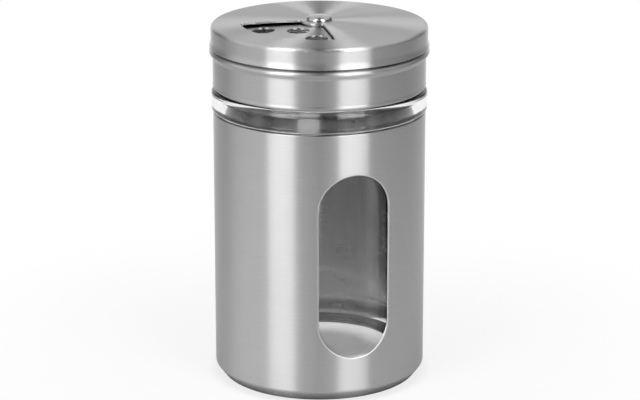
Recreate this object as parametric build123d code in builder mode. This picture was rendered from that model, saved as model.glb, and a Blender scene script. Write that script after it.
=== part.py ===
"""Spice shaker: a glass jar in a windowed steel sleeve, with a screw cap and a rotary pouring dial.

Millimetres, +Z up. The origin is the centre of the foot, and the window in the sleeve faces -Y.
Angles round the axis are counted from +X towards +Y.
"""

import os
from math import atan2, radians, tan

from build123d import *

# ---- Driving sizes ----

# Steel sheet, and the rounding of its cut edges
sheet = 0.5
edge_round = 0.2

# Clearances
glass_gap = 0.3
fit_gap = 0.05
running_gap = 0.05
dial_gap = 0.55
ledge_gap = 0.35

# Steel sleeve
sleeve_radius = 31.0
sleeve_height = 80.0
sleeve_bevel_width = 2.35
sleeve_bevel_height = 3.05
sleeve_bevel_round = 1.5
sleeve_foot_round = 0.7
sleeve_lip_width = 2.0
sleeve_seam_angle = 50.0

# Window in the sleeve
window_width = 20.9
window_height = 54.6
window_sill_height = 13.25
window_edge_round = 0.35

# Glass jar: body and base
glass_wall = 2.8
glass_base = 7.5
glass_heel_round = 3.0
glass_inner_heel_radius = 7.0
floor_crown = 0.7
foot_ring_width = 1.7
push_up = 1.6
push_up_flank = 3.0

# Glass jar: shoulder band between sleeve and cap
shoulder_overhang = 0.65
shoulder_crown = 0.3
shoulder_height = 6.45
shoulder_lower_round = 0.9
shoulder_upper_round = 1.6
shoulder_crown_radius = 16.0

# Glass jar: neck and mouth
neck_step = 2.4
neck_wall = 2.9
neck_height = 14.4
neck_root_round = 0.8
rim_round = 1.0
throat_drop = 2.3
throat_round = 1.2

# Cap: plastic insert and seal
thread_space = 1.3
insert_wall = 1.05
insert_roof_width = 4.5
insert_roof_thickness = 1.3
insert_flange_height = 1.5
insert_round = 0.8
lead_in = 0.35
rib_height = 0.4
rib_depth = 0.8
seal_thickness = 1.2
seal_width = 4.0
seal_play = 0.55

# Cap: steel shell
cap_base_gap = 0.3
collar_step = 0.3
collar_flare = 0.25
collar_flare_height = 1.4
collar_flare_round = 2.0
collar_curl_radius = 0.8
lip_clearance = 0.5
bead_projection = 1.0
bead_height = 1.55
bead_flank_height = 1.0
bead_flank_round = 1.0
bead_lean = 0.1
bead_shoulder_height = 0.75
bead_round = 0.7
wall_foot_round = 0.55
wall_top_round = 1.0

# Dial: steel cover that turns on the cap
skirt_gap = 0.3
skirt_height = 6.05
skirt_flare = 0.4
skirt_flare_height = 1.5
skirt_flare_round = 4.0
dial_corner_round = 1.05

# Dome of plate and dial, flat in the middle where the rivet goes
dome_rise = 1.15
dome_break_radius = 15.0
dome_round = 258.0

# Openings in the dial and in the plate under it; the dial stands a little short of its station
station_angle = -143.0
station_step = 90.0
dial_lag = 2.5
window_sweep = 95.0
window_inner_radius = 5.6
window_outer_radius = 22.9
window_corner = 0.8
pour_hole_radius = 3.25
near_hole_distance = 11.0
far_hole_distance = 17.8
far_hole_angle = 31.0
wide_opening_sweep = 76.0
wide_opening_inner_radius = 7.5
wide_opening_outer_radius = 21.4
wide_opening_corner = 2.0
sprinkle_hole_radius = 1.2
sprinkle_rings = 3
sprinkle_first_count = 2
sprinkle_first_distance = 9.2
sprinkle_ring_step = 4.6
sprinkle_pitch = 5.4

# Pivot: rivet and washers
shank_radius = 2.0
bore_clearance = 0.06
head_radius = 3.7
head_height = 1.35
head_crown = 0.25
head_round = 1.0
tail_radius = 3.1
tail_height = 0.8
tail_round = 0.5
spacer_radius = 4.6
spring_radius = 4.2
spring_thickness = 0.25
spring_rise = 0.35
washer_radius = 3.9
washer_thickness = 0.5

# ---- Radii that follow, from the sleeve inwards and then out to the dial ----

sleeve_bore_radius = sleeve_radius - sheet
foot_radius = sleeve_radius - sleeve_bevel_width
lip_radius = foot_radius - sleeve_lip_width
glass_radius = sleeve_bore_radius - glass_gap
glass_bore_radius = glass_radius - glass_wall
shoulder_radius = sleeve_radius + shoulder_overhang
neck_radius = glass_radius - neck_step
throat_radius = neck_radius - neck_wall
insert_bore_radius = neck_radius + thread_space
insert_wall_radius = insert_bore_radius + insert_wall
seal_outer_radius = insert_bore_radius - seal_play
cap_wall_radius = insert_wall_radius + fit_gap + sheet
collar_radius = cap_wall_radius + collar_step
insert_flange_radius = collar_radius - sheet - fit_gap
bead_radius = collar_radius + bead_projection
dial_radius = cap_wall_radius + skirt_gap + sheet
pivot_bore_radius = shank_radius + bore_clearance

# ---- Levels that follow, from the foot up ----

foot_z = sheet
bevel_angle = atan2(sleeve_bevel_width, sleeve_bevel_height)
heel_z = sleeve_bevel_height + (sheet + glass_gap) * tan(bevel_angle / 2)
heel_radius = glass_radius - (heel_z - foot_z) * tan(bevel_angle)
floor_z = foot_z + glass_base
shoulder_base_z = sleeve_height + glass_gap
shoulder_top_z = shoulder_base_z + shoulder_height
cap_base_z = shoulder_top_z + cap_base_gap
insert_foot_z = cap_base_z + sheet + fit_gap
rim_z = shoulder_top_z + neck_height
rib_top_z = rim_z - fit_gap
insert_roof_z = rim_z + seal_thickness
insert_top_z = insert_roof_z + insert_roof_thickness
plate_edge_z = insert_top_z + fit_gap + sheet
plate_z = plate_edge_z + dome_rise
dial_edge_z = plate_edge_z + dial_gap + sheet
dial_z = dial_edge_z + dome_rise
dial_base_z = dial_edge_z - skirt_height
cap_ledge_z = dial_base_z - ledge_gap
bead_crest_z = cap_ledge_z - bead_height
head_base_z = dial_z + running_gap
washer_top_z = plate_z - sheet - spring_thickness - spring_rise
tail_top_z = washer_top_z - washer_thickness
tail_base_z = tail_top_z - tail_height

os.makedirs("parts", exist_ok=True)


def annular_sector(inner_radius, outer_radius, sweep, middle_angle, corner):
    """A sector of a ring about the axis, with rounded corners."""
    with BuildSketch() as sector:
        with BuildLine():
            inner = CenterArc((0, 0), inner_radius, middle_angle - sweep / 2, sweep)
            outer = CenterArc((0, 0), outer_radius, middle_angle - sweep / 2, sweep)
            Line(inner @ 0, outer @ 0)
            Line(inner @ 1, outer @ 1)
        make_face()
        fillet(sector.vertices(), corner)
    return sector.sketch


def ring_of_holes(count, distance, middle_angle, pitch, radius):
    """Draws holes on an arc about the axis, one pitch apart along it, in the active sketch."""
    step = pitch / radians(distance)
    with PolarLocations(distance, count, middle_angle - step * (count - 1) / 2, step * count):
        Circle(radius)


# ---- Glass jar ----

with BuildPart() as glass_jar:
    with BuildSketch(Plane.XZ) as jar_section:
        with BuildLine() as jar_outline:
            outline = FilletPolyline(
                (0, foot_z + push_up),
                (heel_radius - foot_ring_width - push_up_flank, foot_z + push_up),
                (heel_radius - foot_ring_width, foot_z),
                (heel_radius, foot_z),
                (glass_radius, heel_z),
                (glass_radius, shoulder_base_z),
                (shoulder_radius - shoulder_crown, shoulder_base_z),
                (shoulder_radius, shoulder_base_z + shoulder_height / 2),
                (shoulder_radius - shoulder_crown, shoulder_top_z),
                (neck_radius, shoulder_top_z),
                (neck_radius, rim_z),
                (throat_radius, rim_z),
                (throat_radius, shoulder_top_z),
                (glass_bore_radius, shoulder_top_z - throat_drop),
                (glass_bore_radius, floor_z),
                (0, floor_z + floor_crown),
                radius=(
                    push_up_flank,
                    edge_round,
                    glass_heel_round,
                    glass_heel_round,
                    edge_round,
                    shoulder_lower_round,
                    shoulder_crown_radius,
                    shoulder_upper_round,
                    neck_root_round,
                    rim_round,
                    rim_round,
                    throat_round,
                    throat_round,
                    glass_inner_heel_radius,
                ),
            )
            Line(outline @ 1, outline @ 0)
        make_face()
    revolve(axis=Axis.Z)
glass_jar.part.label = "glass_jar"
export_step(glass_jar.part, "parts/glass_jar.step")

# ---- Steel sleeve, bevelled and turned in under the jar, with its round-ended window ----

with BuildPart() as steel_sleeve:
    with BuildSketch(Plane.XZ) as sleeve_section:
        with BuildLine() as sleeve_skin:
            FilletPolyline(
                (lip_radius, 0),
                (foot_radius, 0),
                (sleeve_radius, sleeve_bevel_height),
                (sleeve_radius, sleeve_height),
                radius=(sleeve_foot_round, sleeve_bevel_round),
            )
            offset(amount=sheet, side=Side.LEFT)
        make_face()
    revolve(axis=Axis.Z)
    fillet(steel_sleeve.edges().group_by(Axis.Z)[-1].sort_by(SortBy.RADIUS)[-1], edge_round)
    add(steel_sleeve.part, rotation=(0, 0, sleeve_seam_angle), mode=Mode.REPLACE)
    with BuildSketch(Plane.XZ) as window_section:
        with Locations((0, window_sill_height + window_height / 2)):
            SlotOverall(window_height, window_width, rotation=90)
    extrude(amount=sleeve_radius + sheet, mode=Mode.SUBTRACT)
    outer_skin = steel_sleeve.faces().filter_by(GeomType.CYLINDER).sort_by(SortBy.AREA)[-1]
    fillet(outer_skin.inner_wires()[0].edges(), window_edge_round)
steel_sleeve.part.label = "steel_sleeve"
export_step(steel_sleeve.part, "parts/steel_sleeve.step")

# ---- Steel cap shell: curled collar, bead, wall under the dial and the plate with the openings ----

with BuildPart() as cap_shell:
    with BuildSketch(Plane.XZ) as shell_section:
        with BuildLine() as shell_skin:
            FilletPolyline(
                (insert_bore_radius + lip_clearance, cap_base_z),
                (collar_radius + collar_flare, cap_base_z),
                (collar_radius, cap_base_z + collar_flare_height),
                (collar_radius, bead_crest_z - bead_flank_height),
                (bead_radius, bead_crest_z),
                (bead_radius - bead_lean, cap_ledge_z - bead_shoulder_height),
                (cap_wall_radius, cap_ledge_z),
                (cap_wall_radius, plate_edge_z),
                (dome_break_radius, plate_z),
                (pivot_bore_radius, plate_z),
                radius=(
                    collar_curl_radius,
                    collar_flare_round,
                    bead_flank_round,
                    bead_round,
                    bead_round,
                    wall_foot_round,
                    wall_top_round,
                    dome_round,
                ),
            )
            offset(amount=sheet, side=Side.LEFT)
        make_face()
    revolve(axis=Axis.Z)
    with BuildSketch(Plane.XY.offset(insert_top_z)) as plate_openings:
        with PolarLocations(near_hole_distance, 1, station_angle):
            Circle(pour_hole_radius)
        with PolarLocations(far_hole_distance, 2, station_angle - far_hole_angle, 4 * far_hole_angle):
            Circle(pour_hole_radius)
        for ring in range(sprinkle_rings):
            ring_of_holes(
                sprinkle_first_count + ring,
                sprinkle_first_distance + ring * sprinkle_ring_step,
                station_angle + station_step,
                sprinkle_pitch,
                sprinkle_hole_radius,
            )
        add(
            annular_sector(
                wide_opening_inner_radius,
                wide_opening_outer_radius,
                wide_opening_sweep,
                station_angle + 2 * station_step,
                wide_opening_corner,
            )
        )
    extrude(amount=dome_rise + 2 * sheet, mode=Mode.SUBTRACT)
cap_shell.part.label = "cap_shell"
export_step(cap_shell.part, "parts/cap_shell.step")

# ---- Plastic insert that carries the cap's thread, with a rib that holds the seal ----

with BuildPart() as thread_insert:
    with BuildSketch(Plane.XZ) as insert_section:
        with BuildLine() as insert_outline:
            outline = FilletPolyline(
                (insert_bore_radius + lead_in, insert_foot_z),
                (insert_flange_radius, insert_foot_z),
                (insert_flange_radius, insert_foot_z + insert_flange_height),
                (insert_wall_radius, insert_foot_z + insert_flange_height),
                (insert_wall_radius, insert_top_z),
                (insert_bore_radius - insert_roof_width, insert_top_z),
                (insert_bore_radius - insert_roof_width, insert_roof_z),
                (insert_bore_radius, insert_roof_z),
                (insert_bore_radius, rib_top_z),
                (insert_bore_radius - rib_depth, rib_top_z),
                (insert_bore_radius - rib_depth, rib_top_z - rib_height),
                (insert_bore_radius, rib_top_z - rib_height - rib_depth),
                (insert_bore_radius, insert_foot_z + lead_in),
                radius=(0, 0, 0, insert_round, edge_round, edge_round, 0, 0, 0, 0, 0),
            )
            Line(outline @ 1, outline @ 0)
        make_face()
    revolve(axis=Axis.Z)
thread_insert.part.label = "thread_insert"
export_step(thread_insert.part, "parts/thread_insert.step")

# ---- Seal between the jar's rim and the roof of the insert ----

with BuildPart() as mouth_seal:
    with BuildSketch(Plane.XZ) as seal_section:
        with Locations((seal_outer_radius - seal_width / 2, rim_z + seal_thickness / 2)):
            RectangleRounded(seal_width, seal_thickness, edge_round)
    revolve(axis=Axis.Z)
mouth_seal.part.label = "mouth_seal"
export_step(mouth_seal.part, "parts/mouth_seal.step")

# ---- Dial: domed cover with a flared skirt and one wide window ----

with BuildPart() as dial_cover:
    with BuildSketch(Plane.XZ) as dial_section:
        with BuildLine() as dial_skin:
            FilletPolyline(
                (dial_radius + skirt_flare, dial_base_z),
                (dial_radius, dial_base_z + skirt_flare_height),
                (dial_radius, dial_edge_z),
                (dome_break_radius, dial_z),
                (pivot_bore_radius, dial_z),
                radius=(skirt_flare_round, dial_corner_round, dome_round),
            )
            offset(amount=sheet, side=Side.LEFT)
        make_face()
    revolve(axis=Axis.Z)
    with BuildSketch(Plane.XY.offset(plate_edge_z)) as dial_window:
        add(
            annular_sector(
                window_inner_radius,
                window_outer_radius,
                window_sweep,
                station_angle - dial_lag,
                window_corner,
            )
        )
    extrude(amount=dial_gap + dome_rise + 2 * sheet, mode=Mode.SUBTRACT)
dial_cover.part.label = "dial_cover"
export_step(dial_cover.part, "parts/dial_cover.step")

# ---- Spacer washer between the plate and the dial ----

with BuildPart() as spacer_washer:
    with BuildSketch(Plane.XY.offset(plate_z)) as spacer_face:
        Circle(spacer_radius)
        Circle(pivot_bore_radius, mode=Mode.SUBTRACT)
    extrude(amount=dial_gap - running_gap)
spacer_washer.part.label = "spacer_washer"
export_step(spacer_washer.part, "parts/spacer_washer.step")

# ---- Conical spring washer that pulls the rivet's head down on the dial ----

with BuildPart() as spring_washer:
    with BuildSketch(Plane.XZ) as spring_section:
        with BuildLine() as spring_outline:
            Polyline(
                (pivot_bore_radius, washer_top_z),
                (spring_radius, washer_top_z + spring_rise),
                (spring_radius, washer_top_z + spring_rise + spring_thickness),
                (pivot_bore_radius, washer_top_z + spring_thickness),
                close=True,
            )
        make_face()
    revolve(axis=Axis.Z)
spring_washer.part.label = "spring_washer"
export_step(spring_washer.part, "parts/spring_washer.step")

# ---- Flat washer under the spring ----

with BuildPart() as pivot_washer:
    with BuildSketch(Plane.XY.offset(washer_top_z)) as washer_face:
        Circle(washer_radius)
        Circle(pivot_bore_radius, mode=Mode.SUBTRACT)
    extrude(amount=-washer_thickness)
pivot_washer.part.label = "pivot_washer"
export_step(pivot_washer.part, "parts/pivot_washer.step")

# ---- Rivet that the dial turns on, peened over the flat washer ----

with BuildPart() as pivot_rivet:
    with BuildSketch(Plane.XZ) as rivet_section:
        with BuildLine() as rivet_outline:
            rivet_side = FilletPolyline(
                (0, tail_base_z),
                (tail_radius, tail_base_z),
                (tail_radius, tail_top_z),
                (shank_radius, tail_top_z),
                (shank_radius, head_base_z),
                (head_radius, head_base_z),
                (head_radius, head_base_z + head_height - head_crown),
                (0, head_base_z + head_height),
                radius=(tail_round, 0, 0, 0, 0, head_round),
            )
            Line(rivet_side @ 1, rivet_side @ 0)
        make_face()
    revolve(axis=Axis.Z)
pivot_rivet.part.label = "pivot_rivet"
export_step(pivot_rivet.part, "parts/pivot_rivet.step")
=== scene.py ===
"""Looks of the spice shaker: brushed steel, pressed glass with its thread, white plastic and a studio."""

from math import atan2, ceil, cos, degrees, pi, radians, sin, tan

import bmesh
import bpy
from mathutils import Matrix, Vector


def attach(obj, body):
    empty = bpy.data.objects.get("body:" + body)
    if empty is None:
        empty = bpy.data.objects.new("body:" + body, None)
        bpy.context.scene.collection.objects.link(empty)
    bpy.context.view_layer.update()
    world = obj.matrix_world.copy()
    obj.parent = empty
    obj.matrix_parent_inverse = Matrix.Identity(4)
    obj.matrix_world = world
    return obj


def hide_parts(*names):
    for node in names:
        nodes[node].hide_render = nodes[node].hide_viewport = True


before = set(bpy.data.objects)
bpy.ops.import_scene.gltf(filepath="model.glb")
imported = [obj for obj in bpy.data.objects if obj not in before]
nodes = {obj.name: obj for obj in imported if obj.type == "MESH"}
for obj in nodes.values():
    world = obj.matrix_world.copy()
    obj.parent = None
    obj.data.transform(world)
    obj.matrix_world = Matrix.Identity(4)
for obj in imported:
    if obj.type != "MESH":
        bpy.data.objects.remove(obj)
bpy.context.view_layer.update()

MM = 0.001

# ---- Driving sizes of the jar, as in the solids, and of the two threads, in millimetres ----

# Steel sleeve that holds the jar
SLEEVE_RADIUS = 31.0
SLEEVE_HEIGHT = 80.0
SHEET = 0.5
GLASS_GAP = 0.3

# Body and base of the jar; from its foot to its heel it slopes as the bevel of the sleeve does
GLASS_WALL = 2.8
GLASS_BASE = 7.5
FLOOR_CROWN = 0.7
FOOT_RING_WIDTH = 1.7
PUSH_UP = 1.6
PUSH_UP_FLANK = 3.0
FOOT_RADIUS = 28.025
HEEL_Z = 3.322
HEEL_ROUND = 3.0
INNER_HEEL_ROUND = 7.0
SMALL_ROUND = 0.2

# Shoulder band
SHOULDER_OVERHANG = 0.65
SHOULDER_HEIGHT = 6.45
SHOULDER_CROWN = 0.3
SHOULDER_CROWN_RADIUS = 16.0
SHOULDER_LOWER_ROUND = 0.9
SHOULDER_UPPER_ROUND = 1.6

# Neck and mouth
NECK_STEP = 2.4
NECK_WALL = 2.9
NECK_HEIGHT = 14.4
NECK_ROOT_ROUND = 0.8
RIM_ROUND = 1.0
THROAT_DROP = 2.3
THROAT_ROUND = 1.2

# Thread on the neck, and the one in the plastic insert of the cap; lengths along them are in turns
THREAD_PITCH = 4.0
THREAD_HEIGHT = 1.0
THREAD_WIDTH = 2.0
THREAD_BASE_Z = 91.2
THREAD_TURNS = 1.45
THREAD_FADE = 0.07
THREAD_SPACE = 1.3
CREST_SHARE = 0.3
INSERT_THREAD_HEIGHT = 0.95
INSERT_THREAD_WIDTH = 1.7
INSERT_THREAD_TURNS = 2.3
INSERT_THREAD_ROOT = 0.1

# ---- Sizes that follow ----

GLASS_RADIUS = SLEEVE_RADIUS - SHEET - GLASS_GAP
BORE_RADIUS = GLASS_RADIUS - GLASS_WALL
SHOULDER_RADIUS = SLEEVE_RADIUS + SHOULDER_OVERHANG
NECK_RADIUS = GLASS_RADIUS - NECK_STEP
THROAT_RADIUS = NECK_RADIUS - NECK_WALL
INSERT_BORE_RADIUS = NECK_RADIUS + THREAD_SPACE
MIDDLE_OF_SHEET = SLEEVE_RADIUS - SHEET / 2

FOOT_Z = SHEET
FLOOR_Z = FOOT_Z + GLASS_BASE
SHOULDER_BASE_Z = SLEEVE_HEIGHT + GLASS_GAP
SHOULDER_TOP_Z = SHOULDER_BASE_Z + SHOULDER_HEIGHT
RIM_Z = SHOULDER_TOP_Z + NECK_HEIGHT

# ---- Fineness of the meshes: tolerances and steps in millimetres, arcs in degrees, and counts ----

ON_AXIS = 1e-6
SAME_RADIUS = 1e-3
SLOPE_STEP = 0.02
REFINE_STEP = 0.2
ARC_STEP = 5.0
ARC_LEAST = 4
JAR_SEGMENTS = 288
INSERT_STEPS = 72
INSERT_ACROSS = 12

# ---- Camera, in metres, with its lens in millimetres; its azimuth and its shift count to the right ----

CAMERA_AZIMUTH = radians(-19.7)
CAMERA_PITCH = radians(16.834)
CAMERA_DISTANCE = 0.77136
CAMERA_AIM_Z = 0.05197
CAMERA_SHIFT = 0.00018
CAMERA_LENS = 147.03
CAMERA_SENSOR = 36.0
CAMERA_NEAR = 0.01
CAMERA_FAR = 50.0


# ---- Shapes ----


def new_object(name, data):
    """An object in the scene for this mesh, lamp or camera."""
    made = bpy.data.objects.new(name, data)
    bpy.context.scene.collection.objects.link(made)
    return made


def heading(way):
    """The direction of a way across the profile, in radians."""
    return atan2(way.y, way.x)


def fillet_profile(points):
    """Points (r, z, round) joined by straight lines, with their corners rounded.

    Returns the points of the profile with the direction of travel at each, in radians."""
    corners = [Vector((r, z)) for r, z, _ in points]
    rounds = [radius for _, _, radius in points]
    out = [(*points[0][:2], heading(corners[1] - corners[0]))]
    for before, here, after, radius in zip(corners, corners[1:], corners[2:], rounds[1:]):
        to_last = (before - here).normalized()
        to_next = (after - here).normalized()
        start_way = heading(-to_last)
        turn = (heading(to_next) - start_way + pi) % (2 * pi) - pi
        cut = radius * tan(abs(turn) / 2)
        side = 1 if turn > 0 else -1
        start = here + to_last * cut
        centre = start + Vector((-sin(start_way), cos(start_way))) * radius * side
        count = max(ARC_LEAST, ceil(degrees(abs(turn)) / ARC_STEP))
        for k in range(count + 1):
            way = start_way + turn * k / count
            out.append((
                centre.x + sin(way) * radius * side,
                centre.y - cos(way) * radius * side,
                way,
            ))
    out.append((*points[-1][:2], heading(corners[-1] - corners[-2])))
    return out


def refine(profile, low_z, high_z, radius, step):
    """The profile, with more points on its straight run at this radius between two levels."""
    out = [profile[0]]
    for (from_r, from_z, _), (to_r, to_z, way) in zip(profile, profile[1:]):
        on_wall = abs(from_r - radius) < SAME_RADIUS and abs(to_r - radius) < SAME_RADIUS
        inside = min(from_z, to_z) < high_z and max(from_z, to_z) > low_z
        if on_wall and inside:
            count = ceil(abs(to_z - from_z) / step)
            out += [(radius, from_z + (to_z - from_z) * k / count, way) for k in range(1, count)]
        out.append((to_r, to_z, way))
    return out


def pushed_normal(push, angle, r, z):
    """The normal, at this angle and level, of an upright wall that push moves outwards."""
    step = SLOPE_STEP
    slope_up = (push(angle, r, z + step) - push(angle, r, z - step)) / (2 * step)
    slope_round = (push(angle + step / r, r, z) - push(angle - step / r, r, z)) / (2 * step)
    x = cos(angle) + slope_round * sin(angle)
    y = sin(angle) - slope_round * cos(angle)
    return Vector((x, y, -slope_up)).normalized()


def lathe_faces(rings, segments):
    """Faces between rings that follow each other, given as their first vertex and their count.

    A ring of one vertex is a point on the axis."""
    faces = []
    for (this, this_count), (other, other_count) in zip(rings, rings[1:]):
        for k in range(segments):
            n = (k + 1) % segments
            if this_count == 1:
                faces.append((this, other + n, other + k))
            elif other_count == 1:
                faces.append((this + k, this + n, other))
            else:
                faces.append((this + k, this + n, other + n, other + k))
    return faces


def lathe(name, profile, segments, push):
    """Revolves a profile whose ends lie on the axis, with the normals of the true surface.

    push(angle, r, z) gives how far a point stands out from the profile."""
    verts, normals, rings = [], [], []
    for r, z, way in profile:
        if r < ON_AXIS:
            rings.append((len(verts), 1))
            verts.append((0.0, 0.0, z * MM))
            normals.append((0.0, 0.0, -1.0 if cos(way) > 0 else 1.0))
            continue
        rings.append((len(verts), segments))
        for k in range(segments):
            angle = k * 2 * pi / segments
            out = push(angle, r, z)
            if out != 0.0:
                normal = pushed_normal(push, angle, r, z)
            else:
                normal = Vector((sin(way) * cos(angle), sin(way) * sin(angle), -cos(way)))
            verts.append(((r + out) * cos(angle) * MM, (r + out) * sin(angle) * MM, z * MM))
            normals.append(tuple(normal))
    mesh = bpy.data.meshes.new(name)
    mesh.from_pydata(verts, [], lathe_faces(rings, segments))
    mesh.update()
    bm = bmesh.new()
    bm.from_mesh(mesh)
    volume = bm.calc_volume(signed=True)
    bm.free()
    if volume < 0:
        mesh.flip_normals()
    mesh.shade_smooth()
    mesh.normals_split_custom_set_from_vertices(normals)
    return new_object(name, mesh)


def ridge_profile(offset, width):
    """Height, from 0 to 1, of a rounded thread ridge at this distance from its middle."""
    share = abs(offset) / (width / 2)
    if share >= 1:
        return 0.0
    if share <= CREST_SHARE:
        return 1.0
    return 0.5 + 0.5 * cos(pi * (share - CREST_SHARE) / (1 - CREST_SHARE))


def fade_at_ends(run, turns):
    """Height, from 0 to 1, of a thread so many turns from its start: it tapers off at both ends."""
    share = max(0.0, min(1.0, run / THREAD_FADE, (turns - run) / THREAD_FADE))
    return share * share * (3 - 2 * share)


def thread_push(angle, r, z):
    """How far the thread stands out of the neck at this angle and level."""
    if abs(r - NECK_RADIUS) > SAME_RADIUS:
        return 0.0
    best = 0.0
    for turn in range(ceil(THREAD_TURNS)):
        run = (angle % (2 * pi)) / (2 * pi) + turn
        middle = THREAD_BASE_Z + THREAD_PITCH * run
        ridge = fade_at_ends(run, THREAD_TURNS) * ridge_profile(z - middle, THREAD_WIDTH)
        best = max(best, ridge)
    return THREAD_HEIGHT * best


def make_jar():
    """The pressed glass jar, in one closed mesh with the thread on its neck.

    The profile goes from the middle of the foot up the outside, over the rim and down inside."""
    ring_inner_r = FOOT_RADIUS - FOOT_RING_WIDTH
    band_edge_r = SHOULDER_RADIUS - SHOULDER_CROWN
    band_middle_z = (SHOULDER_BASE_Z + SHOULDER_TOP_Z) / 2
    points = [
        (0, FOOT_Z + PUSH_UP, 0),
        (ring_inner_r - PUSH_UP_FLANK, FOOT_Z + PUSH_UP, PUSH_UP_FLANK),
        (ring_inner_r, FOOT_Z, SMALL_ROUND),
        (FOOT_RADIUS, FOOT_Z, HEEL_ROUND),
        (GLASS_RADIUS, HEEL_Z, HEEL_ROUND),
        (GLASS_RADIUS, SHOULDER_BASE_Z, SMALL_ROUND),
        (band_edge_r, SHOULDER_BASE_Z, SHOULDER_LOWER_ROUND),
        (SHOULDER_RADIUS, band_middle_z, SHOULDER_CROWN_RADIUS),
        (band_edge_r, SHOULDER_TOP_Z, SHOULDER_UPPER_ROUND),
        (NECK_RADIUS, SHOULDER_TOP_Z, NECK_ROOT_ROUND),
        (NECK_RADIUS, RIM_Z, RIM_ROUND),
        (THROAT_RADIUS, RIM_Z, RIM_ROUND),
        (THROAT_RADIUS, SHOULDER_TOP_Z, THROAT_ROUND),
        (BORE_RADIUS, SHOULDER_TOP_Z - THROAT_DROP, THROAT_ROUND),
        (BORE_RADIUS, FLOOR_Z, INNER_HEEL_ROUND),
        (0, FLOOR_Z + FLOOR_CROWN, 0),
    ]
    profile = refine(fillet_profile(points), SHOULDER_TOP_Z, RIM_Z, NECK_RADIUS, REFINE_STEP)
    return lathe("jar_glass", profile, JAR_SEGMENTS, thread_push)


def insert_thread_section(run):
    """Points (r, z) round the ridge inside the insert, so many turns from its start."""
    middle = THREAD_BASE_Z - THREAD_PITCH / 2 + THREAD_PITCH * run
    tallest = INSERT_THREAD_HEIGHT * fade_at_ends(run, INSERT_THREAD_TURNS)
    section = []
    for m in range(INSERT_ACROSS + 1):
        offset = INSERT_THREAD_WIDTH * (m / INSERT_ACROSS - 0.5)
        height = tallest * ridge_profile(offset, INSERT_THREAD_WIDTH)
        section.append((INSERT_BORE_RADIUS - height, middle + offset))
    root = INSERT_BORE_RADIUS + INSERT_THREAD_ROOT
    return section + [(root, middle + side * INSERT_THREAD_WIDTH / 2) for side in (1, -1)]


def make_insert_thread():
    """The ridge inside the plastic insert, which runs half a pitch from the ridge on the neck."""
    verts, faces = [], []
    count = ceil(INSERT_THREAD_TURNS * INSERT_STEPS)
    for k in range(count + 1):
        run = INSERT_THREAD_TURNS * k / count
        angle = 2 * pi * run
        section = insert_thread_section(run)
        verts += [(r * cos(angle) * MM, r * sin(angle) * MM, z * MM) for r, z in section]
    ring = len(section)
    for k in range(count):
        for m in range(ring):
            n = (m + 1) % ring
            faces.append((k * ring + m, k * ring + n, (k + 1) * ring + n, (k + 1) * ring + m))
    faces.append(tuple(range(ring)))
    faces.append(tuple(count * ring + m for m in reversed(range(ring))))
    mesh = bpy.data.meshes.new("insert_thread")
    mesh.from_pydata(verts, [], faces)
    mesh.update()
    bm = bmesh.new()
    bm.from_mesh(mesh)
    bmesh.ops.recalc_face_normals(bm, faces=bm.faces)
    bm.to_mesh(mesh)
    bm.free()
    mesh.shade_smooth()
    return new_object("insert_thread", mesh)


jar = make_jar()
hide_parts("glass_jar")
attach(jar, "jar")

insert_thread = make_insert_thread()
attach(insert_thread, "cap")


# ---- Materials; lengths are in metres, and the scale of a noise is its number of cells to the metre ----

# A noise varies round this middle, and seldom leaves this range
NOISE_MIDDLE = 0.5
NOISE_LOW = 0.3
NOISE_HIGH = 0.7

# Steel: share of the finest scratches, their depth, and the rounding of its cut edges
FINE_SHARE = 0.6
SCRATCH_DEPTH = 0.00001
EDGE_WEAR = 0.00015

# Mill finish, against the brushed one: how much paler it is painted as painted light, how rough, what is
# left of the scratches
MILL_PAINTED_LIGHT = 1.25
MILL_ROUGHNESS = 0.8
MILL_SCRATCHES = 0.12
MILL_BORDER = 0.0001


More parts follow.
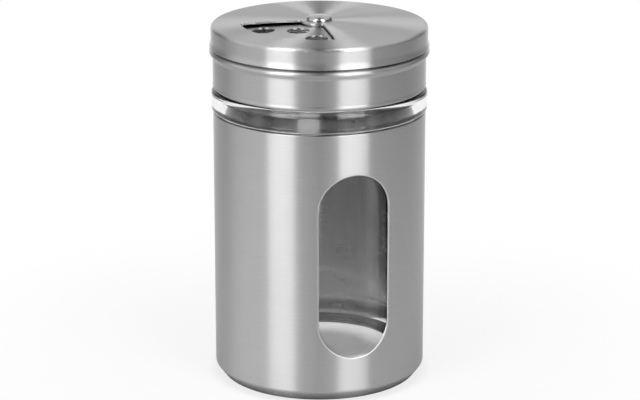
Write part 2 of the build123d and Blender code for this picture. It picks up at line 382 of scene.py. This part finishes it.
class Shader:
    """A material, or the world, whose nodes are added and linked by short calls."""

    def __init__(self, owner, out="ShaderNodeOutputMaterial"):
        owner.use_nodes = True
        self.tree = owner.node_tree
        self.tree.nodes.clear()
        self.out = self.node(out)

    def node(self, kind, **settings):
        made = self.tree.nodes.new(kind)
        for key, value in settings.items():
            setattr(made, key, value)
        return made

    def link(self, output, socket):
        self.tree.links.new(output, socket)

    def place(self):
        """Where a point lies, in metres from the origin of the frame."""
        return self.node("ShaderNodeTexCoord").outputs["Object"]

    def math(self, operation, a, b=None, c=None):
        made = self.node("ShaderNodeMath", operation=operation)
        for socket, value in zip(made.inputs, (a, b, c)):
            if value is None:
                continue
            if isinstance(value, (int, float)):
                socket.default_value = value
            else:
                self.link(value, socket)
        return made.outputs[0]

    def vector(self, operation, a, b=None, scale=None):
        made = self.node("ShaderNodeVectorMath", operation=operation)
        self.link(a, made.inputs[0])
        if b is not None:
            if isinstance(b, tuple):
                made.inputs[1].default_value = b
            else:
                self.link(b, made.inputs[1])
        if scale is not None:
            made.inputs["Scale"].default_value = scale
        return made.outputs["Value" if operation in ("LENGTH", "DOT_PRODUCT") else "Vector"]

    def level(self, vector):
        """The vector without its height."""
        return self.vector("MULTIPLY", vector, (1.0, 1.0, 0.0))

    def noise(self, vector, scale=1.0, detail=2.0, roughness=0.5):
        made = self.node("ShaderNodeTexNoise")
        made.inputs["Scale"].default_value = scale
        made.inputs["Detail"].default_value = detail
        made.inputs["Roughness"].default_value = roughness
        self.link(vector, made.inputs["Vector"])
        return made.outputs["Fac"]

    def ramp(self, value, low, high, start=0.0, end=1.0, kind="LINEAR"):
        """Low to high while the value goes from start to end, and level outside."""
        made = self.node("ShaderNodeMapRange", interpolation_type=kind)
        limits = {"From Min": start, "From Max": end, "To Min": low, "To Max": high}
        for key, number in limits.items():
            made.inputs[key].default_value = number
        self.link(value, made.inputs["Value"])
        return made.outputs["Result"]

    def spread(self, noise, low, high):
        """Low to high over the range that a noise seldom leaves."""
        return self.ramp(noise, low, high, NOISE_LOW, NOISE_HIGH)

    def vary(self, noise, value, share):
        """The value, more or less this share of it."""
        return self.spread(noise, value * (1 - share), value * (1 + share))

    def ease(self, value, start, end, low=0.0, high=1.0):
        """Low to high, with a soft start and end, while the value goes from start to end."""
        return self.ramp(value, low, high, start, end, "SMOOTHSTEP")

    def near(self, facing, wide, narrow, low=0.0, high=1.0):
        """Low to high while the angle whose cosine is facing shrinks from wide to narrow, in degrees."""
        return self.ease(facing, cos(radians(wide)), cos(radians(narrow)), low, high)

    def rise(self, height, start, end, low=0.0, high=1.0):
        """Low to high while a direction of this height climbs from start to end, in degrees."""
        return self.ease(height, sin(radians(start)), sin(radians(end)), low, high)

    def grey(self, value, tint=(1.0, 1.0, 1.0)):
        made = self.node("ShaderNodeCombineColor")
        for k in range(3):
            self.link(self.math("MULTIPLY", value, tint[k]), made.inputs[k])
        return made.outputs["Color"]

    def bump(self, height, strength, distance, normal=None):
        made = self.node("ShaderNodeBump")
        made.inputs["Strength"].default_value = strength
        made.inputs["Distance"].default_value = distance
        self.link(height, made.inputs["Height"])
        if normal is not None:
            self.link(normal, made.inputs["Normal"])
        return made.outputs["Normal"]

    def surface(self, **values):
        made = self.node("ShaderNodeBsdfPrincipled")
        for key, value in values.items():
            socket = made.inputs[key.replace("_", " ")]
            if isinstance(value, (int, float, tuple)):
                socket.default_value = value
            else:
                self.link(value, socket)
        self.link(made.outputs["BSDF"], self.out.inputs["Surface"])
        return made


def turned_place(shader, along, across):
    """A place for a noise that is stretched round the axis, as turning or brushing marks are.

    It has so many cells to the metre across a wall or a flat, and to the radian along the marks."""
    place = shader.place()
    flat = shader.level(place)
    radius = shader.vector("LENGTH", flat)
    unit = shader.vector("SCALE", shader.vector("NORMALIZE", flat), scale=along)
    split = shader.node("ShaderNodeSeparateXYZ")
    shader.link(place, split.inputs[0])
    height = shader.math("MULTIPLY", shader.math("ADD", radius, split.outputs["Z"]), across)
    top = shader.node("ShaderNodeCombineXYZ")
    shader.link(height, top.inputs["Z"])
    return shader.vector("ADD", unit, top.outputs[0])


def brushed_steel(name, grey, roughness, anisotropy, mill_and_painted_light_radius=None):
    """Stainless steel with fine scratches that run round the axis, and with worn edges.

    Inside the mill radius it has the smoother finish of the mill, with hardly a scratch, and a paler
    tone that is painted light, where the lamps reach it only through the glass."""
    material = bpy.data.materials.new(name)
    shader = Shader(material)
    fine = shader.noise(turned_place(shader, along=9.0, across=16000.0), roughness=0.6)
    coarse = shader.noise(turned_place(shader, along=3.0, across=3500.0))
    place = shader.place()
    cloud = shader.noise(place, scale=60.0)
    streaks = shader.math("MULTIPLY", coarse, 1 - FINE_SHARE)
    streaks = shader.math("MULTIPLY_ADD", fine, FINE_SHARE, streaks)
    if mill_and_painted_light_radius:
        radius = shader.vector("LENGTH", shader.level(place))
        brushed = shader.ramp(radius, 0.0, 1.0, mill_and_painted_light_radius - MILL_BORDER, mill_and_painted_light_radius + MILL_BORDER)
        strength = shader.math("MULTIPLY_ADD", brushed, 1 - MILL_SCRATCHES, MILL_SCRATCHES)
        streaks = shader.math("SUBTRACT", streaks, NOISE_MIDDLE)
        streaks = shader.math("MULTIPLY_ADD", streaks, strength, NOISE_MIDDLE)
    tone = shader.vary(streaks, grey, share=0.06)
    tone = shader.math("MULTIPLY", tone, shader.vary(cloud, 1.0, share=0.015))
    rough = shader.vary(streaks, roughness, share=0.1)
    rough = shader.math("MULTIPLY", rough, shader.vary(cloud, 1.0, share=0.04))
    if mill_and_painted_light_radius:
        # Painted light: the inside of the sleeve is painted paler, where the lamps reach it only through
        # the glass
        tone = shader.math("MULTIPLY", tone, shader.ramp(brushed, MILL_PAINTED_LIGHT, 1.0))
        rough = shader.math("MULTIPLY", rough, shader.ramp(brushed, MILL_ROUGHNESS, 1.0))
    tangent = shader.node("ShaderNodeTangent", direction_type="RADIAL", axis="Z")
    worn_edge = shader.node("ShaderNodeBevel", samples=6)
    worn_edge.inputs["Radius"].default_value = EDGE_WEAR
    made = shader.surface(
        Base_Color=shader.grey(tone, tint=(1.0, 1.0, 0.998)),
        Metallic=1.0,
        Roughness=rough,
        Anisotropic=anisotropy,
        Anisotropic_Rotation=0.25,
        Normal=shader.bump(streaks, strength=0.2, distance=SCRATCH_DEPTH, normal=worn_edge.outputs[0]),
    )
    shader.link(tangent.outputs[0], made.inputs["Tangent"])
    return material


def polished_steel(name):
    """Polished steel with faint turning marks."""
    material = bpy.data.materials.new(name)
    shader = Shader(material)
    rings = shader.noise(turned_place(shader, along=0.6, across=9000.0))
    shader.surface(
        Base_Color=shader.grey(shader.spread(rings, low=0.37, high=0.41)),
        Metallic=1.0,
        Roughness=shader.spread(rings, low=0.08, high=0.13),
        Normal=shader.bump(rings, strength=0.12, distance=SCRATCH_DEPTH),
    )
    return material


def clear_glass(name):
    """Pressed glass, which is a little uneven."""
    material = bpy.data.materials.new(name)
    shader = Shader(material)
    swell = shader.noise(shader.place(), scale=70.0, detail=1.0, roughness=0.4)
    shader.surface(
        Base_Color=(0.98, 0.98, 0.98, 1.0),
        Roughness=shader.spread(swell, low=0.0, high=0.012),
        IOR=1.5,
        Transmission_Weight=1.0,
        Normal=shader.bump(swell, strength=0.06, distance=0.0004),
    )
    return material


def moulded_plastic(name, grey, roughness, milkiness):
    """Moulded plastic or silicone with a fine grain, which lets a little light in."""
    material = bpy.data.materials.new(name)
    shader = Shader(material)
    place = shader.place()
    grain = shader.noise(place, scale=2600.0, roughness=0.6)
    cloud = shader.noise(place, scale=90.0)
    tone = shader.spread(cloud, low=grey * 0.97, high=grey * 1.02)
    shader.surface(
        Base_Color=shader.grey(tone, tint=(1.0, 1.0, 0.975)),
        Roughness=shader.vary(grain, roughness, share=0.15),
        Subsurface_Weight=milkiness,
        Subsurface_Scale=0.001,
        Normal=shader.bump(grain, strength=0.2, distance=0.00002),
    )
    return material


steel = brushed_steel("brushed_steel_looks", grey=0.47, roughness=0.34, anisotropy=1.0)
sleeve_steel = brushed_steel(
    "sleeve_steel_looks",
    grey=0.485,
    roughness=0.34,
    anisotropy=1.0,
    mill_and_painted_light_radius=MIDDLE_OF_SHEET * MM,
)
washer_steel = brushed_steel("washer_steel_looks", grey=0.45, roughness=0.36, anisotropy=0.3)
polished = polished_steel("polished_steel_looks")
glass = clear_glass("clear_glass_looks")
plastic = moulded_plastic("white_plastic_looks", grey=0.8, roughness=0.42, milkiness=0.15)
silicone = moulded_plastic("seal_silicone_looks", grey=0.72, roughness=0.55, milkiness=0.4)

looks = {
    "steel_sleeve": sleeve_steel,
    "cap_shell": steel,
    "dial_cover": steel,
    "thread_insert": plastic,
    "spacer_washer": washer_steel,
    "mouth_seal": silicone,
    "pivot_rivet": polished,
    "spring_washer": washer_steel,
    "pivot_washer": washer_steel,
    "glass_jar": glass,
}
for node_name, material in looks.items():
    node = nodes[node_name]
    node.data.materials.clear()
    node.data.materials.append(material)
jar.data.materials.append(glass)
insert_thread.data.materials.append(plastic)


# ---- Studio, in metres ----


def round_the_axis(azimuth, elevation=0.0, distance=1.0, centre_z=0.0):
    """A point at this distance from the point of the axis at centre_z.

    Azimuth 0 is in front, and it counts to the right."""
    return Vector((
        sin(azimuth) * cos(elevation) * distance,
        -cos(azimuth) * cos(elevation) * distance,
        centre_z + sin(elevation) * distance,
    ))


BEHIND = -round_the_axis(CAMERA_AZIMUTH)
RIGHT = round_the_axis(CAMERA_AZIMUTH + radians(90))
FAR_LEFT = round_the_axis(CAMERA_AZIMUTH - radians(74))
WHITE = (1, 1, 1, 1)

LAMP_DISTANCE = 0.8
LAMP_LOW_Z = 0.1
LAMP_HIGH_Z = 1.6

PAPER_HALF = 3.0
PAPER_Z = -0.0002
PAPER_GREY = 0.68
# Grey of the bare floor, and of the painted shade right under the object
BARE_FLOOR_AND_PAINTED_SHADE_GREY = 0.15


def softbox(name, turn, width, radiance):
    """An upright rectangular lamp that faces the axis, so many degrees to the right of the camera."""
    height = LAMP_HIGH_Z - LAMP_LOW_Z
    centre_z = (LAMP_LOW_Z + LAMP_HIGH_Z) / 2
    place = round_the_axis(CAMERA_AZIMUTH + radians(turn), 0.0, LAMP_DISTANCE, centre_z)
    lamp = bpy.data.lights.new(name, "AREA")
    lamp.shape = "RECTANGLE"
    lamp.size = width
    lamp.size_y = height
    lamp.energy = radiance * width * height * pi
    holder = new_object(name, lamp)
    holder.location = place
    look = Vector((-place.x, -place.y, 0.0))
    holder.rotation_mode = "QUATERNION"
    holder.rotation_quaternion = look.to_track_quat("-Z", "Y")
    holder.visible_camera = False


softbox("left_softbox", turn=-41, width=0.42, radiance=3.5)
softbox("right_softbox", turn=37, width=0.46, radiance=3.6)


def make_world(wall, glow, gap, ceiling, mirrored_backdrop):
    """A dim room with a white backdrop behind the object, and white wherever the camera looks.

    The left wall glows. The ceiling is pale on both sides of a darker gap above object and camera.
    Glass shows all of the backdrop, and metal the share that mirrored_backdrop gives."""
    world = bpy.data.worlds.new("studio")
    bpy.context.scene.world = world
    sky = Shader(world, "ShaderNodeOutputWorld")
    way = sky.node("ShaderNodeTexCoord").outputs["Generated"]
    split = sky.node("ShaderNodeSeparateXYZ")
    sky.link(way, split.inputs[0])
    height = split.outputs["Z"]
    level = sky.vector("NORMALIZE", sky.level(way))
    beside = sky.near(sky.vector("DOT_PRODUCT", level, tuple(BEHIND)), wide=36, narrow=20)
    below = sky.rise(height, start=18, end=30, low=1.0, high=0.0)
    rays = sky.node("ShaderNodeLightPath").outputs
    glossy = sky.math("MULTIPLY", rays["Is Glossy Ray"], mirrored_backdrop)
    mirrored = sky.math("MAXIMUM", glossy, rays["Is Transmission Ray"])
    backdrop = sky.math("MULTIPLY", mirrored, sky.math("MULTIPLY", beside, below))
    white = sky.math("MAXIMUM", rays["Is Camera Ray"], backdrop)
    to_left = sky.vector("DOT_PRODUCT", level, tuple(FAR_LEFT))
    walls = sky.near(to_left, wide=50, narrow=5, low=wall, high=glow)
    aside = sky.math("ABSOLUTE", sky.vector("DOT_PRODUCT", way, tuple(RIGHT)))
    above = sky.ease(aside, start=0.03, end=0.14, low=gap, high=ceiling)
    share = sky.rise(height, start=15, end=40)
    room = sky.math("MULTIPLY_ADD", sky.math("SUBTRACT", above, walls), share, walls)
    rest = sky.math("MULTIPLY", sky.math("SUBTRACT", 1.0, white), room)
    back = sky.node("ShaderNodeBackground")
    back.inputs["Color"].default_value = WHITE
    sky.link(sky.math("ADD", white, rest), back.inputs["Strength"])
    sky.link(back.outputs[0], sky.out.inputs["Surface"])


make_world(wall=0.18, glow=1.4, gap=0.15, ceiling=1.05, mirrored_backdrop=0.88)


def floor_looks():
    """White paper close to the object and behind it; the floor is dark elsewhere, and painted dark right
    under it as painted shade.

    The camera sees it white, with a soft shade round the object, cast partly by the lamps and partly
    painted at its foot. Metal sees it white far behind the object, and glass everywhere; under the base
    that white is painted light, fainter under the middle as painted shade."""
    material = bpy.data.materials.new("floor_looks")
    shader = Shader(material)
    place = shader.place()
    radius = shader.vector("LENGTH", place)
    facing = shader.vector("DOT_PRODUCT", shader.vector("NORMALIZE", place), tuple(BEHIND))
    behind = shader.near(facing, wide=34, narrow=18)
    sheet = shader.near(facing, wide=85, narrow=40)
    close = shader.ease(radius, start=0.27, end=0.5, low=1.0, high=0.0)
    # Painted shade: the floor is dark under the object and a few millimetres round its foot, which the
    # sleeve's foot mirrors
    clear = shader.ease(radius, start=0.029, end=0.034)
    paper = shader.math("MULTIPLY", shader.math("MAXIMUM", sheet, close), clear)
    plain = shader.node("ShaderNodeBsdfDiffuse")
    shader.link(shader.grey(shader.ramp(paper, BARE_FLOOR_AND_PAINTED_SHADE_GREY, PAPER_GREY)), plain.inputs["Color"])
    white = shader.node("ShaderNodeEmission")
    white.inputs["Color"].default_value = WHITE
    rays = shader.node("ShaderNodeLightPath").outputs
    mirrored = shader.math("MAXIMUM", rays["Is Glossy Ray"], rays["Is Transmission Ray"])
    unshaded = shader.ease(radius, start=0.045, end=0.16, low=0.8, high=1.0)
    seen = shader.math("MULTIPLY", rays["Is Camera Ray"], unshaded)
    far = shader.math("MULTIPLY", behind, shader.ease(radius, start=0.1, end=0.4))
    shown = shader.math("MULTIPLY", mirrored, far)
    # Painted light and shade: glass sees the floor under its base glowing almost white, and fainter under
    # the middle
    below = shader.ease(radius, start=0.016, end=0.025, low=0.36, high=0.9)
    through = shader.math("MULTIPLY", rays["Is Transmission Ray"], below)
    mix = shader.node("ShaderNodeMixShader")
    shader.link(shader.math("MAXIMUM", seen, shader.math("MAXIMUM", shown, through)), mix.inputs[0])
    shader.link(plain.outputs[0], mix.inputs[1])
    shader.link(white.outputs[0], mix.inputs[2])
    shader.link(mix.outputs[0], shader.out.inputs["Surface"])
    return material


def make_floor():
    """A large sheet just under the object."""
    corners = [(-1, -1), (1, -1), (1, 1), (-1, 1)]
    verts = [(x * PAPER_HALF, y * PAPER_HALF, PAPER_Z) for x, y in corners]
    mesh = bpy.data.meshes.new("floor")
    mesh.from_pydata(verts, [], [(0, 1, 2, 3)])
    floor = new_object("floor", mesh)
    floor.data.materials.append(floor_looks())


make_floor()


def make_camera():
    """A camera at the photograph's viewing angle."""
    lens = bpy.data.cameras.new("camera")
    lens.lens = CAMERA_LENS
    lens.sensor_width = CAMERA_SENSOR
    lens.clip_start = CAMERA_NEAR
    lens.clip_end = CAMERA_FAR
    camera = new_object("camera", lens)
    back = round_the_axis(CAMERA_AZIMUTH, CAMERA_PITCH)
    camera.location = Vector((0, 0, CAMERA_AIM_Z)) + back * CAMERA_DISTANCE + RIGHT * CAMERA_SHIFT
    camera.rotation_mode = "QUATERNION"
    camera.rotation_quaternion = (-back).to_track_quat("-Z", "Y")
    bpy.context.scene.camera = camera


make_camera()

bpy.context.scene.view_settings.view_transform = "Standard"
